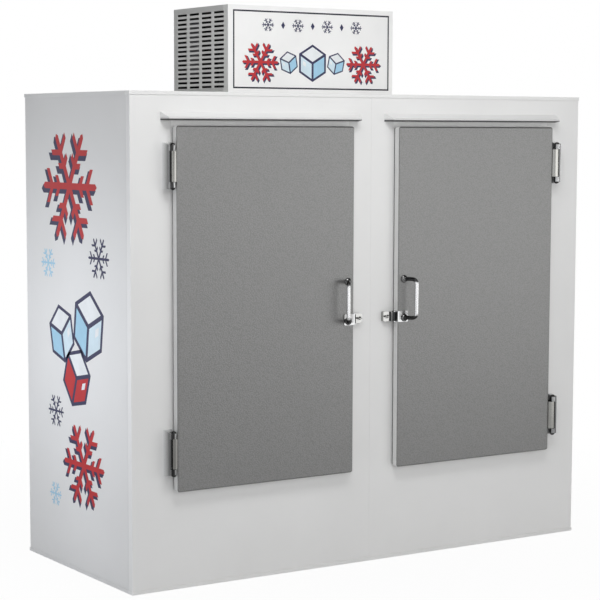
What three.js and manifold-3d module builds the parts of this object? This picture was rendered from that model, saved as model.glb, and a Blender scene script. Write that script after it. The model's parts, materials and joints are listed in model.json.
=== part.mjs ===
// A two-door upright ice merchandiser freezer with its condensing unit on top.
// Millimetres, +Z up.  The pieces are drawn in cabinet coordinates: x from the middle, y from
// the front face of the cabinet going back, z from the floor.  Paired pieces are drawn on the
// +x side and mirrored.
import * as THREE from 'three';
import { mergeVertices } from 'three/addons/utils/BufferGeometryUtils.js';
import Module from 'manifold-3d';

const wasm = await Module();
wasm.setup();

// ---------------------------------------------------------------- driving sizes
const bodyWidth = 1854;
const bodyDepth = 775;
const bodyHeight = 1610;
const sheet = 2; // painted sheet of casings and pans
const seat = 0.2; // air left between pieces that touch
const lipHeight = 12; // turned-down edge of the cap and turned-up edge of the base
const returnDepth = 25; // front panel folded back onto the sides
const seamWidth = 1.2; // open joint between two body panels
const wallFoam = 50;
const floorFoam = 60;

const doorSideMargin = 151; // cabinet edge to the hinged edge of a door
const doorSill = 325; // floor to the bottom of a door
const doorHeadroom = 109; // top of a door to the top of the cabinet
const mullionWidth = 186; // between the two doors
const doorShell = 26; // depth of the door's outer pan
const doorCorner = 8;
const doorRoll = 4; // rounding of the face into the edges
const doorOverlap = 30; // how far a door covers the frame round its opening
const openingCorner = 14;
const leastCorner = 2; // of an outline drawn inside another
const plugDepth = 39; // inner pan beyond the back of the outer pan
const plugClearance = 12;
const gasketDepth = 8.5;
const gasketWidth = 22;
const gasketInset = 4;
const gasketAir = 0.3; // soft face to the cabinet face

const railOverhang = 39.5; // beyond each edge of the door
const railReach = 38;
const railMitre = 12; // how much shorter the lip is at each end
const railAboveDoor = 17;
const railRise = 27; // height of the rail on the cabinet face
const railLip = 7;
const railTipDrop = 17; // from the rail's top edge to the top of its lip
const railSheet = 1.6;

const hingeHeight = 150;
const hingeFromDoorEnd = 128; // door end to the middle of a hinge
const hingePinOut = 17; // door edge to the pin
const hingePinDepth = 38; // cabinet face to the pin
const hingeFlange = 4;
const hingeWidth = 34;
const hingeWall = 9;
const hingeFront = 43; // how far the leaf's wall stands out
const hingeEndSlope = 7; // the wall's ends slope down to the flange over this height
const knuckleLength = 25;
const knuckleRadius = 9.5;
const knuckleDome = 8;
const barrelRadius = 6;
const pinRadius = 3.2;
const pinAir = 0.4;
const knuckleAir = 0.5; // between a knuckle's end and the barrel
const strapPlate = 3;
const strapArm = 6;
const strapShoulder = 7; // door edge to where the strap is at its full height
const strapInset = 2; // strap plate short of the pan's back edge

const handleSpan = 134; // between the middles of the two legs
const handleStandoff = 41; // door face to the middle of the grip
const handleLean = 24.5; // the grip is set towards the middle of the door
const handleFromEdge = 24; // latch edge to the middle of a foot
const gripWidth = 13;
const gripDepth = 13.5;
const handleBend = 18;
const footRadius = 13;
const footRim = 1.5; // straight edge under the dome of a foot
const footDome = 7;

const catchDrop = 62; // middle of the door down to the middle of the catch
const catchHeight = 38;
const catchPlate = 3;
const catchPlateWidth = 40;
const catchCorner = 4;
const earThickness = 3.5;
const earDepth = 14;
const earInset = 1; // ear short of the roller's outer edge
const rollerRadius = 5;
const axleRadius = 2.1;
const axleAir = 0.3;
const keeperGap = 3; // roller to keeper
const keeperWidth = 5;
const keeperReach = 19;
const strikeWidth = 26;
const strikeHeight = 34;
const strikeDepth = 14;
const strikePocket = 6; // depth of the pocket that the staple stands in
const pocketWidth = 22;
const pocketHeight = 12;
const stapleWidth = 13;
const stapleReach = 12; // beyond the face of the strike
const stapleWire = 2.2;
const stapleBend = 5.5;

const hoodWidth = 697;
const hoodDepth = 382;
const hoodHeight = 308;
const hoodFromBack = 28;
const hoodFlange = 15;
const slotWidth = 67;
const slotHeight = 7.5;
const slotPitch = 16;
const slotRows = 17;
const slotGap = 19; // between two columns of slots
const sideColumns = 4;
const slotsFromTop = 24;

const coilDepth = 56;
const coilHeight = 262;
const coilLength = 330;
const coilFins = 12;
const coilFromSide = 30;
const coilSpine = 16;
const shroudDepth = 34;
const orificeRadius = 122;
const fanRadius = 112;
const fanDepth = 24;
const fanBlades = 5;
const hubRadius = 20;
const hubCap = 3; // solid front of the hub
const bladeThickness = 2.4;
const bladePitch = 0.2; // radians
const shaftRadius = 5;
const shaftAir = 0.35;
const shaftBehindFan = 12;
const shaftEndAir = 1;
const motorRadius = 42;
const motorLength = 62;
const motorFootPlate = 4;
const motorPostInset = 8; // post short of each end of the motor
const motorPostHalf = 12;
const fanToShroud = 6;
const compressorRadius = 76;
const compressorHeight = 205;
const compressorOffset = 185; // middle of the hood to the compressor
const shellFootRadius = 65;
const shellShoulder = 22; // height at which the shell is at its full width
const bandFoot = 107; // weld band round the shell
const bandHeight = 16;
const bandProud = 4;
const footPlate = 5;
const footPlateOverhang = 24;
const footPlateCorner = 14;
const stubRadius = 6;
const stubHeight = 16;
const stubOffset = 30;
const ductWidth = 38;
const ductDepth = 27;
const ductHeight = 203;
const ductFromSide = 47;
const ductFromTop = 33;
const glandRadius = 13;
const glandReach = 14;
const glandBore = 5;
const glandTaper = 3;
const glandHeight = 60;
const glandFromSide = 60;

const evaporatorWidth = 660;
const evaporatorDepth = 270;
const evaporatorHeight = 190;
const evaporatorFromBack = 22;
const evaporatorFins = 11;
const evaporatorCoilWidth = 590;
const evaporatorCoilDepth = 84;
const evaporatorCoilHeight = 150;
const evaporatorSpine = 32;
const evaporatorOrifice = 82;
const evaporatorFanRadius = 74;
const evaporatorMotorRadius = 32;
const evaporatorMotorLength = 50;
const drainRadius = 11;
const drainBore = 8;
const drainFromBack = 14;
const drainAboveFloor = 40;

const rackHeight = 28;
const rackRibs = 8;
const rackSlope = 8; // run of the sheet from a low flat to a raised one
const rackAir = 8;

// ---------------------------------------------------------------- derived places
const halfWidth = bodyWidth / 2;
const skinX = halfWidth - sheet - seat; // outer face of the side panels
const skinTop = bodyHeight - sheet - seat;
const skinFoot = sheet + seat;
const skinBack = bodyDepth - sheet - seat;
const capFront = -sheet - seat;

const foamX = skinX - sheet - seat;
const foamFront = sheet + seat;
const foamBack = skinBack - sheet - seat;
const linerX = foamX - wallFoam - seat;
const linerFront = foamFront + wallFoam + seat;
const linerBack = foamBack - wallFoam - seat;
const linerFloor = skinFoot + floorFoam + seat;
const linerTop = skinTop - floorFoam - seat;
const roomX = linerX - sheet;
const roomBack = linerBack - sheet;
const roomFloor = linerFloor + sheet;
const roomTop = linerTop - sheet;
const throatBack = linerFront + 2 * sheet;

const latchX = mullionWidth / 2;
const hingeX = halfWidth - doorSideMargin;
const doorMiddleX = (latchX + hingeX) / 2;
const doorTop = bodyHeight - doorHeadroom;
const doorMiddle = (doorSill + doorTop) / 2;
const doorBack = -gasketDepth - seat;
const doorFace = doorBack - doorShell;
const plugFace = doorBack + plugDepth;

const pinX = hingeX + hingePinOut;
const pinY = -hingePinDepth;
const hingeHeights = { upper: doorTop - hingeFromDoorEnd, lower: doorSill + hingeFromDoorEnd };

const gripY = doorFace - handleStandoff;
const footX = latchX + handleFromEdge;
const leanAngle = Math.atan2(handleLean, handleStandoff);
const gripReach = Math.hypot((gripDepth / 2) * Math.cos(leanAngle), (gripWidth / 2) * Math.sin(leanAngle));
const foremost = gripY - gripReach;

const catchZ = doorMiddle - catchDrop;
const catchFace = doorFace - catchPlate - seat;
const rollerX = latchX - seat - catchPlate - seat - rollerRadius;
const rollerY = (doorFace + doorBack) / 2;
const keeperX = rollerX - rollerRadius - keeperGap;
const strikeEnd = keeperX - keeperWidth - seat;
const strikeX = strikeEnd - strikeWidth;

const hoodX = hoodWidth / 2;
const hoodBack = bodyDepth - hoodFromBack;
const hoodFront = hoodBack - hoodDepth;
const hoodFoot = bodyHeight + seat;
const hoodTop = hoodFoot + hoodHeight;
const hoodMiddleY = (hoodFront + hoodBack) / 2;
const hoodInX = hoodX - sheet - seat;
const hoodInFront = hoodFront + sheet + seat;
const hoodInBack = hoodBack - sheet - seat;
const trayTop = hoodFoot + sheet;
const plantFoot = trayTop + seat;

const coilOuterX = hoodInX - coilFromSide;
const coilInnerX = coilOuterX - coilDepth;
const shroudOuterX = coilInnerX - seat;
const shroudInnerX = shroudOuterX - shroudDepth;
const fanAxisZ = plantFoot + coilHeight / 2;
const fanX = shroudInnerX - fanToShroud - fanDepth / 2;

const evaporatorBack = roomBack - evaporatorFromBack;
const evaporatorFront = evaporatorBack - evaporatorDepth;
const evaporatorTop = roomTop - seat;
const evaporatorFoot = evaporatorTop - evaporatorHeight;
const evaporatorFloor = evaporatorFoot + sheet + seat;
const evaporatorAxisZ = (evaporatorFoot + evaporatorTop) / 2;
const evaporatorFanY = evaporatorFront + sheet + fanToShroud + fanDepth / 2;

// ---------------------------------------------------------------- finishes
function finish(color, roughness, metalness) {
  return new THREE.MeshStandardMaterial({ color, roughness, metalness });
}
const white = finish(0xe4e5e5, 0.42, 0.05);
const liningWhite = finish(0xdfe2e3, 0.5, 0.0);
const doorGrey = finish(0x8a8b8a, 0.5, 0.35);
const hoodGrey = finish(0xc2c4c3, 0.45, 0.1);
const chrome = finish(0xd3d5d7, 0.14, 1.0);
const zinc = finish(0xb2b5b6, 0.4, 0.9);
const blackRubber = finish(0x2b2d2f, 0.8, 0.0);
const blackPaint = finish(0x1c1d1e, 0.5, 0.2);
const greyPlastic = finish(0x8f9093, 0.55, 0.0);
const foam = finish(0xd9c793, 0.9, 0.0);
const aluminium = finish(0xb9bdc0, 0.38, 0.9);

// ---------------------------------------------------------------- building tools
const cornerSteps = 3; // facets in a quarter round
const turnSteps = 20; // facets round a turned piece
const bendSteps = 5; // facets along a bend

// Six times the volume inside a triangle mesh, negative where its faces point inwards.
function signedVolume(points, triangles) {
  const corner = (index) => new THREE.Vector3().fromArray(points, index * 3);
  let total = 0;
  for (let i = 0; i < triangles.length; i += 3) {
    const [a, b, c] = [0, 1, 2].map((k) => corner(triangles[i + k]));
    total += a.dot(b.cross(c));
  }
  return total;
}

function toSolid(geometry) {
  const plain = geometry.clone();
  for (const name of ['normal', 'uv']) {
    plain.deleteAttribute(name);
  }
  const welded = mergeVertices(plain, 1e-3);
  const vertProperties = new Float32Array(welded.attributes.position.array);
  const triVerts = new Uint32Array(welded.index.array);
  if (signedVolume(vertProperties, triVerts) < 0) {
    triVerts.reverse();
  }
  return new wasm.Manifold(new wasm.Mesh({ numProp: 3, vertProperties, triVerts }));
}

function toGeometry(solid) {
  const mesh = solid.getMesh();
  const geometry = new THREE.BufferGeometry();
  geometry.setAttribute('position', new THREE.BufferAttribute(new Float32Array(mesh.vertProperties), 3));
  geometry.setIndex(new THREE.BufferAttribute(new Uint32Array(mesh.triVerts), 1));
  const flat = geometry.toNonIndexed();
  flat.computeVertexNormals();
  return flat;
}

const join = (first, ...others) => others.reduce((whole, piece) => whole.add(piece), first);
const cut = (first, ...others) => others.reduce((whole, piece) => whole.subtract(piece), first);
const meet = (first, second) => first.intersect(second);

function box(x0, x1, y0, y1, z0, z1) {
  const geometry = new THREE.BoxGeometry(x1 - x0, y1 - y0, z1 - z0);
  geometry.translate((x0 + x1) / 2, (y0 + y1) / 2, (z0 + z1) / 2);
  return toSolid(geometry);
}

function extrude(outline, depth) {
  return new THREE.ExtrudeGeometry(outline, { depth, bevelEnabled: false, curveSegments: cornerSteps });
}

// An outline in (x, z) pushed along +y from y0 to y1.
function pushY(outline, y0, y1) {
  const geometry = extrude(outline, y1 - y0);
  geometry.rotateX(Math.PI / 2);
  geometry.translate(0, y1, 0);
  return toSolid(geometry);
}

// An outline in (y, z) pushed along +x from x0 to x1.
function pushX(outline, x0, x1) {
  const geometry = extrude(outline, x1 - x0);
  geometry.rotateZ(Math.PI / 2);
  geometry.rotateY(Math.PI / 2);
  geometry.translate(x0, 0, 0);
  return toSolid(geometry);
}

// An outline in (x, y) pushed along +z from z0 to z1.
function pushZ(outline, z0, z1) {
  const geometry = extrude(outline, z1 - z0);
  geometry.translate(0, 0, z0);
  return toSolid(geometry);
}

function roundedRect(u0, u1, v0, v1, radius) {
  const shape = new THREE.Shape();
  shape.moveTo(u0 + radius, v0);
  shape.lineTo(u1 - radius, v0);
  shape.absarc(u1 - radius, v0 + radius, radius, -Math.PI / 2, 0);
  shape.lineTo(u1, v1 - radius);
  shape.absarc(u1 - radius, v1 - radius, radius, 0, Math.PI / 2);
  shape.lineTo(u0 + radius, v1);
  shape.absarc(u0 + radius, v1 - radius, radius, Math.PI / 2, Math.PI);
  shape.lineTo(u0, v0 + radius);
  shape.absarc(u0 + radius, v0 + radius, radius, Math.PI, 1.5 * Math.PI);
  return shape;
}

// A turned solid: the profile holds [radius, height] pairs and starts and ends on the axis.
function turned(profile, axis, [x, y, z], segments = turnSteps) {
  const points = profile.map(([radius, height]) => new THREE.Vector2(radius, height));
  const geometry = new THREE.LatheGeometry(points, segments);
  if (axis === 'z') {
    geometry.rotateX(Math.PI / 2);
  }
  if (axis === 'x') {
    geometry.rotateZ(-Math.PI / 2);
  }
  geometry.translate(x, y, z);
  return toSolid(geometry);
}

// A plain rod from one height to another along its axis.
function rod(axis, radius, from, to, place, segments = turnSteps) {
  return turned([[0, from], [radius, from], [radius, to], [0, to]], axis, place, segments);
}

// Points of a quarter round, from [radius, height] to the axis, for a domed end.
function dome(radius, height, rise, steps = 4) {
  return Array.from({ length: steps + 1 }, (_, i) => {
    const angle = (i / steps) * (Math.PI / 2);
    return [i === steps ? 0 : radius * Math.cos(angle), height + rise * Math.sin(angle)];
  });
}

// A convex solid through a row of outlines that all have the same number of corners.
function loft(outlines) {
  const count = outlines[0].length;
  const last = (outlines.length - 1) * count;
  const faces = [];
  for (let level = 0; level < last; level += count) {
    for (let i = 0; i < count; i += 1) {
      const next = (i + 1) % count;
      faces.push(level + i, level + next, level + count + i);
      faces.push(level + next, level + count + next, level + count + i);
    }
  }
  for (let i = 1; i < count - 1; i += 1) {
    faces.push(0, i + 1, i, last, last + i, last + i + 1);
  }
  const corners = outlines.flat().flatMap((corner) => corner.toArray());
  const geometry = new THREE.BufferGeometry();
  geometry.setAttribute('position', new THREE.Float32BufferAttribute(corners, 3));
  geometry.setIndex(faces);
  return toSolid(geometry);
}

// A bar of oval section along straight runs in one plane, its corners bent to a radius.
function bentBar(corners, bend, planeNormal, width, depth, sides) {
  const stations = [];
  const along = (from, to) => to.clone().sub(from).normalize();
  for (let i = 1; i < corners.length - 1; i += 1) {
    const enter = corners[i].clone().addScaledVector(along(corners[i - 1], corners[i]), -bend);
    const leave = corners[i].clone().addScaledVector(along(corners[i], corners[i + 1]), bend);
    const curve = new THREE.QuadraticBezierCurve3(enter, corners[i], leave);
    for (let k = 0; k <= bendSteps; k += 1) {
      stations.push([curve.getPoint(k / bendSteps), curve.getTangent(k / bendSteps)]);
    }
  }
  stations.unshift([corners[0], stations[0][1]]);
  stations.push([corners.at(-1), stations.at(-1)[1]]);
  const rings = stations.map(([point, tangent]) => {
    const across = new THREE.Vector3().crossVectors(planeNormal, tangent);
    return Array.from({ length: sides }, (_, i) => {
      const angle = (i / sides) * 2 * Math.PI;
      return point
        .clone()
        .addScaledVector(planeNormal, (width / 2) * Math.cos(angle))
        .addScaledVector(across, (depth / 2) * Math.sin(angle));
    });
  });
  return loft(rings);
}

const cabinet = new THREE.Group();

function place(name, solid, material) {
  const mesh = new THREE.Mesh(toGeometry(solid), material);
  mesh.name = name;
  cabinet.add(mesh);
}

function placePair(name, solid, material) {
  place(`${name}_right`, solid, material);
  place(`${name}_left`, solid.mirror([1, 0, 0]), material);
}

// ---------------------------------------------------------------- cabinet casing
const openingOutline = (grow) =>
  roundedRect(
    latchX + doorOverlap - grow,
    hingeX - doorOverlap + grow,
    doorSill + doorOverlap - grow,
    doorTop - doorOverlap + grow,
    Math.max(openingCorner + grow, leastCorner),
  );

const bothSides = (solid) => [solid, solid.mirror([1, 0, 0])];

function casing() {
  const lipTop = bodyHeight - lipHeight;
  const inner = halfWidth - sheet;
  const cap = cut(
    box(-halfWidth, halfWidth, capFront, bodyDepth, lipTop, bodyHeight),
    box(-inner, inner, capFront + sheet, bodyDepth - sheet, lipTop - 1, bodyHeight - sheet),
  );
  place('top_cap', cap, white);

  const base = cut(
    box(-halfWidth, halfWidth, capFront, bodyDepth, 0, lipHeight),
    box(-inner, inner, capFront + sheet, bodyDepth - sheet, sheet, lipHeight + 1),
  );
  place('base_pan', base, white);

  const side = box(skinX - sheet, skinX, returnDepth + seamWidth, skinBack, skinFoot, skinTop);
  placePair('side_panel', side, white);

  const backX = skinX - sheet - seat;
  place('back_panel', box(-backX, backX, skinBack - sheet, skinBack, skinFoot, skinTop), white);

  const folded = join(
    box(seamWidth / 2, skinX, 0, sheet, skinFoot, skinTop),
    box(skinX - sheet, skinX, 0, returnDepth, skinFoot, skinTop),
  );
  placePair('front_panel', cut(folded, pushY(openingOutline(0), -1, sheet + 1)), white);
}

// ---------------------------------------------------------------- insulated tank
function tank() {
  const hole = openingOutline(sheet + seat);
  const linerHole = pushY(hole, foamFront - 1, linerFront + sheet + 1);
  const tankSpace = box(
    -linerX - seat, linerX + seat, linerFront - seat, linerBack + seat, linerFloor - seat, linerTop + seat,
  );
  const core = cut(
    box(-foamX, foamX, foamFront, foamBack, skinFoot, skinTop),
    tankSpace,
    ...bothSides(linerHole),
  );
  place('insulation', core, foam);

  const shell = cut(
    box(-linerX, linerX, linerFront, linerBack, linerFloor, linerTop),
    box(-roomX, roomX, linerFront + sheet, roomBack, roomFloor, roomTop),
    ...bothSides(linerHole),
  );
  place('inner_liner', shell, liningWhite);

  const throat = cut(
    pushY(openingOutline(sheet), foamFront, throatBack),
    pushY(openingOutline(0), foamFront - 1, throatBack + 1),
  );
  placePair('door_throat', throat, greyPlastic);
}

// Corrugated sheet that keeps the bags off the tank floor: raised and low flats in turn.
function floorRacks() {
  const x0 = rackAir;
  const x1 = roomX - rackAir;
  const y0 = throatBack + rackAir;
  const y1 = roomBack - rackAir;
  const low = roomFloor + seat;
  const high = low + rackHeight - sheet;
  const pitch = (y1 - y0) / (rackRibs + 0.5);
  const flat = pitch / 2 - rackSlope;
  const upper = [];
  for (let i = 0; i <= rackRibs; i += 1) {
    const y = y0 + i * pitch;
    upper.push([y, low], [y + flat, low]);
    if (i < rackRibs) {
      upper.push([y + flat + rackSlope, high], [y + pitch - rackSlope, high]);
    }
  }
  const raised = upper.map(([y, z]) => [y, z + sheet]).reverse();
  const outline = new THREE.Shape([...upper, ...raised].map(([y, z]) => new THREE.Vector2(y, z)));
  placePair('floor_rack', pushX(outline, x0, x1), zinc);
}

// ---------------------------------------------------------------- drip rails over the doors
function dripRails() {
  const half = doorMiddleX - latchX + railOverhang;
  const top = doorTop + railAboveDoor + railRise;
  const foot = doorTop + railAboveDoor;
  const tip = top - railTipDrop;
  const outline = [[-seat, top], [-railReach, tip], [-railReach, tip - railLip], [-seat, foot]];
  const hollow = [
    [-seat - railSheet, top - 2 * railSheet],
    [-railReach + railSheet, tip - railSheet / 2],
    [-railReach + railSheet, foot - railRise],
    [-seat - railSheet, foot - railRise],
  ];
  const end = (points, side, shorter) =>
    points.map(([y, z]) => {
      const reach = half - shorter - railMitre * (-y / railReach);
      return new THREE.Vector3(doorMiddleX + side * reach, y, z);
    });
  const solid = (points, shorter) => loft([end(points, -1, shorter), end(points, 1, shorter)]);
  const rail = cut(solid(outline, 0), solid(hollow, railSheet));
  placePair('drip_rail', rail, white);
}

// ---------------------------------------------------------------- doors
const doorOutline = (inset) => {
  const corner = Math.max(doorCorner - inset, leastCorner);
  return roundedRect(latchX + inset, hingeX - inset, doorSill + inset, doorTop - inset, corner);
};

const plugOutline = (inset) => openingOutline(-plugClearance - inset);

function doors() {
  const rollSteps = 2;
  const level = (inset, y) => {
    const points = doorOutline(inset).getPoints(cornerSteps).slice(1);
    return points.map((point) => new THREE.Vector3(point.x, y, point.y));
  };
  const rolled = [level(0, doorBack)];
  for (let i = 0; i <= rollSteps; i += 1) {
    const angle = (i / rollSteps) * (Math.PI / 2);
    rolled.push(level(doorRoll * (1 - Math.cos(angle)), doorFace + doorRoll * (1 - Math.sin(angle))));
  }
  const skin = cut(loft(rolled), pushY(doorOutline(sheet), doorFace + sheet, doorBack + 1));
  placePair('door_skin', skin, doorGrey);

  const edge = sheet + seat;
  const panFace = doorBack - sheet;
  const pan = cut(
    join(pushY(doorOutline(edge), panFace, doorBack), pushY(plugOutline(0), panFace, plugFace)),
    pushY(plugOutline(sheet), panFace - 1, plugFace - sheet),
  );
  placePair('door_liner', pan, liningWhite);

  const filling = join(
    pushY(doorOutline(edge), doorFace + edge, panFace - seat),
    pushY(plugOutline(edge), panFace - 1, plugFace - edge),
  );
  placePair('door_foam', filling, foam);

  const gasket = cut(
    pushY(doorOutline(gasketInset), doorBack + seat, -gasketAir),
    pushY(doorOutline(gasketInset + gasketWidth), doorBack, 1),
  );
  placePair('door_gasket', gasket, blackRubber);
}

// ---------------------------------------------------------------- hinges
function hinges() {
  const half = hingeHeight / 2;
  const strapBack = doorBack - strapInset;
  const strapHalf = half - knuckleLength - knuckleAir;
  const outer = hingeX + hingeWidth;
  const wallX = outer - hingeWall;
  const nose = hingeWall / 2;
  for (const [level, z] of Object.entries(hingeHeights)) {
    const section = new THREE.Shape();
    section.moveTo(hingeX + strapPlate, -seat);
    section.lineTo(outer, -seat);
    section.lineTo(outer, -hingeFront + nose);
    section.absarc(outer - nose, -hingeFront + nose, nose, 0, -Math.PI, true);
    section.lineTo(wallX, -hingeFlange);
    section.lineTo(hingeX + strapPlate, -hingeFlange);
    const profile = new THREE.Shape();
    profile.moveTo(0, z - half);
    profile.lineTo(-hingeFlange, z - half);
    profile.lineTo(-hingeFront - 1, z - half + hingeEndSlope);
    profile.lineTo(-hingeFront - 1, z + half - hingeEndSlope);
    profile.lineTo(-hingeFlange, z + half);
    profile.lineTo(0, z + half);
    const knuckle = (side) => {
      const inner = z + side * (half - knuckleLength);
      const shoulder = z + side * (half - knuckleDome);
      const domed = dome(knuckleRadius, 0, side * knuckleDome).map(([r, h]) => [r, shoulder + h]);
      return turned([[0, inner], [knuckleRadius, inner], ...domed], 'z', [pinX, pinY, 0], 16);
    };
    const web = (low) => box(pinX, wallX + 1, pinY - nose, -hingeFlange + 1, low, low + knuckleLength);
    const body = join(pushZ(section, z - half, z + half), web(z - half), web(z + half - knuckleLength));
    const leaf = join(
      meet(body, pushX(profile, hingeX, outer + 1)),
      knuckle(1),
      knuckle(-1),
      rod('z', pinRadius, z - half + knuckleDome, z + half - knuckleDome, [pinX, pinY, 0], 12),
    );
    placePair(`hinge_leaf_${level}`, leaf, chrome);

    const edgeX = hingeX + seat;
    const shoulderX = hingeX + strapShoulder;
    const armY = pinY - barrelRadius;
    const bent = new THREE.Shape();
    bent.moveTo(edgeX, strapBack);
    bent.lineTo(edgeX, doorFace);
    bent.lineTo(shoulderX, armY);
    bent.lineTo(pinX, armY);
    bent.lineTo(pinX, armY + strapArm);
    bent.lineTo(shoulderX, armY + strapArm);
    bent.lineTo(edgeX + strapPlate, doorFace);
    bent.lineTo(edgeX + strapPlate, strapBack);
    const strap = cut(
      join(
        rod('z', barrelRadius, z - strapHalf, z + strapHalf, [pinX, pinY, 0], 20),
        pushZ(bent, z - strapHalf, z + strapHalf),
      ),
      rod('z', pinRadius + pinAir, z - half, z + half, [pinX, pinY, 0], 12),
    );
    placePair(`hinge_strap_${level}`, strap, chrome);
  }
}

// ---------------------------------------------------------------- pull handles and catches
function handles() {
  const top = doorMiddle + handleSpan / 2;
  const foot = doorMiddle - handleSpan / 2;
  const lean = new THREE.Vector3(handleLean, gripY - doorFace, 0);
  const across = lean.clone().cross(new THREE.Vector3(0, 0, 1)).normalize();
  const behindFace = -0.25; // legs start this part of their run behind the door face, then are trimmed
  const inside = (z) => new THREE.Vector3(footX, doorFace, z).addScaledVector(lean, behindFace);
  const outside = (z) => new THREE.Vector3(footX + handleLean, gripY, z);
  const corners = [inside(top), outside(top), outside(foot), inside(foot)];
  const collar = (z, face) => {
    const domed = dome(footRadius, 0, -footDome).map(([r, h]) => [r, face - footRim + h]);
    return turned([[0, face + 1], [footRadius, face + 1], ...domed], 'y', [footX, 0, z]);
  };
  const bar = cut(
    join(
      bentBar(corners, handleBend, across, gripWidth, gripDepth, 12),
      collar(top, doorFace - seat),
      collar(foot, catchFace - seat),
    ),
    box(0, halfWidth, doorFace - seat, 0, doorMiddle, doorTop),
    box(0, halfWidth, catchFace - seat, 0, doorSill, doorMiddle),
  );
  placePair('pull_handle', bar, chrome);
}

function catches() {
  const z0 = catchZ - catchHeight / 2;
  const z1 = catchZ + catchHeight / 2;
  const edgeX = latchX - seat;
  const faceY = doorFace - seat;
  const earX = edgeX - catchPlate;
  const earFront = rollerY - earDepth / 2;
  const earBack = rollerY + earDepth / 2;
  const earEnd = rollerX - rollerRadius + earInset;
  const ear = (from) => box(earEnd, earX + 1, earFront, earBack, from, from + earThickness);
  const plate = cut(
    join(
      pushY(roundedRect(earX, latchX + catchPlateWidth, z0, z1, catchCorner), faceY - catchPlate, faceY),
      box(earX, edgeX, faceY - catchPlate / 2, earBack, z0, z1),
      ear(z0),
      ear(z1 - earThickness),
    ),
    rod('z', axleRadius + axleAir, z0 - 1, z1 + 1, [rollerX, rollerY, 0], 16),
  );
  placePair('catch_plate', plate, chrome);

  const low = z0 + earThickness + seat;
  const high = z1 - earThickness - seat;
  const roller = turned(
    [[0, z0 + seat], [axleRadius, z0 + seat], [axleRadius, low], [rollerRadius, low],
      [rollerRadius, high], [axleRadius, high], [axleRadius, z1 - seat], [0, z1 - seat]],
    'z',
    [rollerX, rollerY, 0],
    12,
  );
  placePair('catch_roller', roller, blackRubber);

  const nose = keeperWidth / 2;
  const keeperBack = -seat;
  const profile = new THREE.Shape();
  profile.moveTo(keeperX - keeperWidth, keeperBack);
  profile.lineTo(keeperX - keeperWidth, -keeperReach + nose);
  profile.absarc(keeperX - nose, -keeperReach + nose, nose, Math.PI, 2 * Math.PI);
  profile.lineTo(keeperX, keeperBack);
  placePair('keeper', pushZ(profile, z0 + catchPlate, z1 - catchPlate), blackRubber);

  const strikeHalf = strikeHeight / 2;
  const outline = roundedRect(strikeX, strikeEnd, catchZ - strikeHalf, catchZ + strikeHalf, catchCorner);
  const strikeMiddle = (strikeX + strikeEnd) / 2;
  const strikeFace = -seat - strikeDepth;
  const pocket = roundedRect(
    strikeMiddle - pocketWidth / 2,
    strikeMiddle + pocketWidth / 2,
    catchZ - pocketHeight / 2,
    catchZ + pocketHeight / 2,
    pocketHeight / 2 - seat,
  );
  const stapleX = strikeMiddle - stapleWidth / 2;
  const stapleFoot = strikeFace + strikePocket + 1;
  const stapleTip = strikeFace - stapleReach;
  const staple = [[0, stapleFoot], [0, stapleTip], [stapleWidth, stapleTip], [stapleWidth, stapleFoot]];
  const bends = staple.map(([x, y]) => new THREE.Vector3(stapleX + x, y, catchZ));
  const upward = new THREE.Vector3(0, 0, 1);
  const strike = join(
    cut(pushY(outline, strikeFace, -seat), pushY(pocket, strikeFace - 1, strikeFace + strikePocket)),
    bentBar(bends, stapleBend, upward, 2 * stapleWire, 2 * stapleWire, 6),
  );
  placePair('strike_plate', strike, chrome);
}

// ---------------------------------------------------------------- condensing unit housing
// Rows of slots cut through a panel, in a field centred on `middle` across the panel.
function slotField(columns, middle, push) {
  const step = slotWidth + slotGap;
  const start = middle - (columns * slotWidth + (columns - 1) * slotGap) / 2;
  const slots = [];
  for (let column = 0; column < columns; column += 1) {
    for (let row = 0; row < slotRows; row += 1) {
      const u = start + column * step;
      const v = hoodTop - slotsFromTop - row * slotPitch;
      slots.push(push(u, u + slotWidth, v - slotHeight / 2, v + slotHeight / 2));
    }
  }
  return slots;
}

function housing() {
  place('sign_panel', box(-hoodX, hoodX, hoodFront, hoodFront + sheet, hoodFoot, hoodTop), white);

  const gland = [hoodX - glandFromSide, hoodFoot + glandHeight];
  const back = cut(
    box(-hoodX, hoodX, hoodBack - sheet, hoodBack, hoodFoot, hoodTop),
    rod('y', glandBore, hoodBack - 2 * sheet, hoodBack + 1, [gland[0], 0, gland[1]], 16),
  );
  place('hood_back_panel', back, hoodGrey);

  const slot = (y0, y1, z0, z1) => box(hoodX - 2 * sheet, hoodX + 1, y0, y1, z0, z1);
  const louver = cut(
    box(hoodX - sheet, hoodX, hoodInFront, hoodInBack, hoodFoot, hoodTop),
    ...slotField(sideColumns, hoodMiddleY, slot),
  );
  placePair('louver_panel', louver, hoodGrey);

  const tray = (z0, z1, hollow0, hollow1) =>
    cut(
      box(-hoodInX, hoodInX, hoodInFront, hoodInBack, z0, z1),
      box(-hoodInX + sheet, hoodInX - sheet, hoodInFront + sheet, hoodInBack - sheet, hollow0, hollow1),
    );
  const flangeFoot = hoodTop - hoodFlange;
  const flangeTop = hoodFoot + hoodFlange;
  place('hood_top', tray(flangeFoot, hoodTop, flangeFoot - 1, hoodTop - sheet), hoodGrey);
  place('hood_tray', tray(hoodFoot, flangeTop, trayTop, flangeTop + 1), zinc);

  const nutFront = hoodBack + seat;
  const nutBack = nutFront + glandReach;
  const nut = turned(
    [
      [glandBore, nutFront],
      [glandRadius, nutFront],
      [glandRadius, nutFront + glandReach / 2],
      [glandRadius - glandTaper, nutBack],
      [glandBore, nutBack],
      [glandBore, nutFront],
    ],
    'y',
    [gland[0], 0, gland[1]],
    16,
  );
  place('cord_gland', nut, blackPaint);
}

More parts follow.
